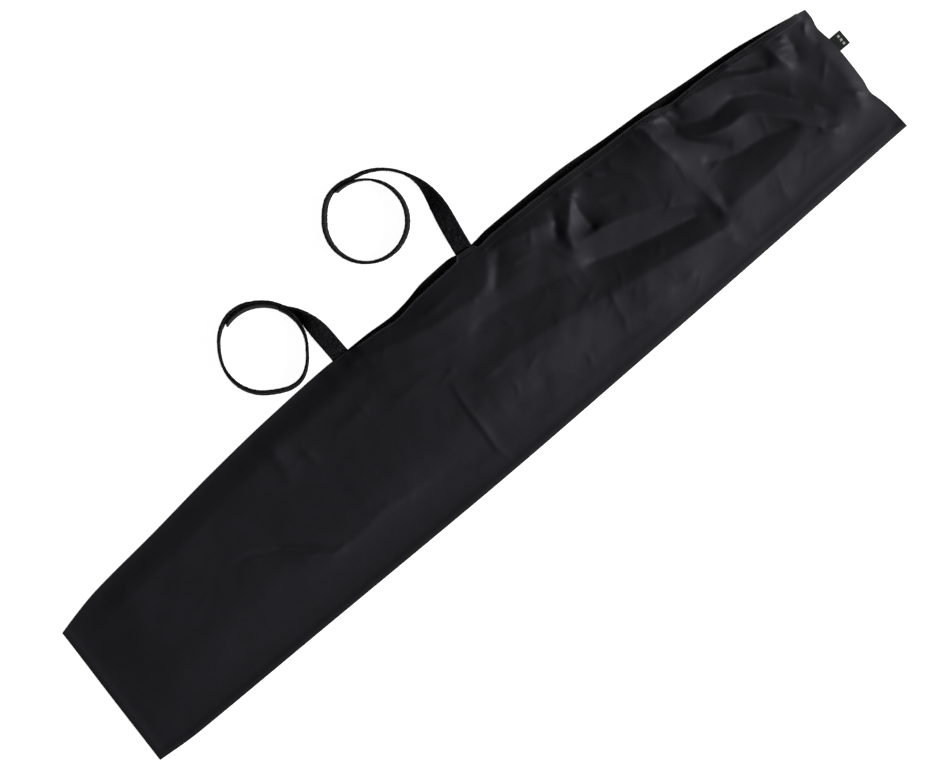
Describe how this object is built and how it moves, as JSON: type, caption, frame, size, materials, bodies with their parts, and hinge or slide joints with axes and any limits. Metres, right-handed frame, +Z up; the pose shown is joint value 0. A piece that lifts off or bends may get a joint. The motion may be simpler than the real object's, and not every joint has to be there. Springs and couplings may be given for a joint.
{
  "type": "drawing tube carry sleeve",
  "caption": "Limp flat carry sleeve of coated nylon for a drawing tube, tapering to both ends, with a long side mouth, two wound hook-and-loop straps and a small folded label.",
  "frame": {"origin": "middle of the sleeve on the underside of the back panel, which rests on the ground", "axes": "+X along the sleeve to the end with the label, +Y towards the long edge with the mouth and straps, +Z up out of the front panel"},
  "size_m": [0.9898, 0.3309, 0.0191],
  "materials": {
    "nylon": "coated plain-weave nylon, low sheen",
    "matte_tape": "matte woven facing tape",
    "thread": "black polyester thread",
    "loop_tape": "brushed loop pile",
    "hook_tape": "moulded hooks on a woven ground",
    "label": "damask woven label"
  },
  "bodies": {
    "sleeve": {"back_panel": "nylon", "front_panel": "nylon", "back_mouth_tape": "matte_tape", "back_tape_thread": "thread", "long_seam_thread": "thread", "closed_side_thread": "thread", "left_end_thread": "thread", "right_end_thread": "thread", "strap_1_sewn_end": "loop_tape", "strap_1_bartack": "thread"},
    "front_lip": {"front_lip_hem": "nylon", "front_lip_tape": "matte_tape", "hem_thread_outer": "thread", "hem_thread_inner": "thread", "strap_2_sewn_end": "loop_tape", "strap_2_bartack": "thread"},
    "strap_1": {"strap_1_tape": "loop_tape"},
    "strap_1_tab": {"strap_1_hook_tab": "hook_tape", "strap_1_tab_thread": "thread"},
    "strap_2": {"strap_2_tape": "loop_tape"},
    "strap_2_tab": {"strap_2_hook_tab": "hook_tape", "strap_2_tab_thread": "thread"},
    "label": {"label": "label"}
  },
  "joints": [
    {"name": "lip_lift", "type": "hinge", "parent": "sleeve", "child": "front_lip", "pos_m": [0.2, 0.0885, 0.0085], "axis": [0.9984, -0.0561, 0], "range_deg": [0, 60]},
    {"name": "strap_1_swing", "type": "hinge", "parent": "sleeve", "child": "strap_1", "pos_m": [-0.0925, 0.1159, 0.00165], "axis": [1, 0, 0], "range_deg": [0, 75]},
    {"name": "strap_1_tab_peel", "type": "hinge", "parent": "strap_1", "child": "strap_1_tab", "pos_m": [-0.10845, 0.18765, 0.0095], "axis": [0, 0, 1], "range_deg": [0, 50]},
    {"name": "strap_2_swing", "type": "hinge", "parent": "front_lip", "child": "strap_2", "pos_m": [0.0696, 0.1154, 0.00575], "axis": [0.9877, -0.1564, 0], "range_deg": [0, 80]},
    {"name": "strap_2_tab_peel", "type": "hinge", "parent": "strap_2", "child": "strap_2_tab", "pos_m": [0.04607, 0.22439, 0.0095], "axis": [0, 0, 1], "range_deg": [0, 50]},
    {"name": "label_flip", "type": "hinge", "parent": "sleeve", "child": "label", "pos_m": [0.4866, 0.0322, 0.0006], "axis": [0, -1, 0], "range_deg": [0, 90]}
  ]
}
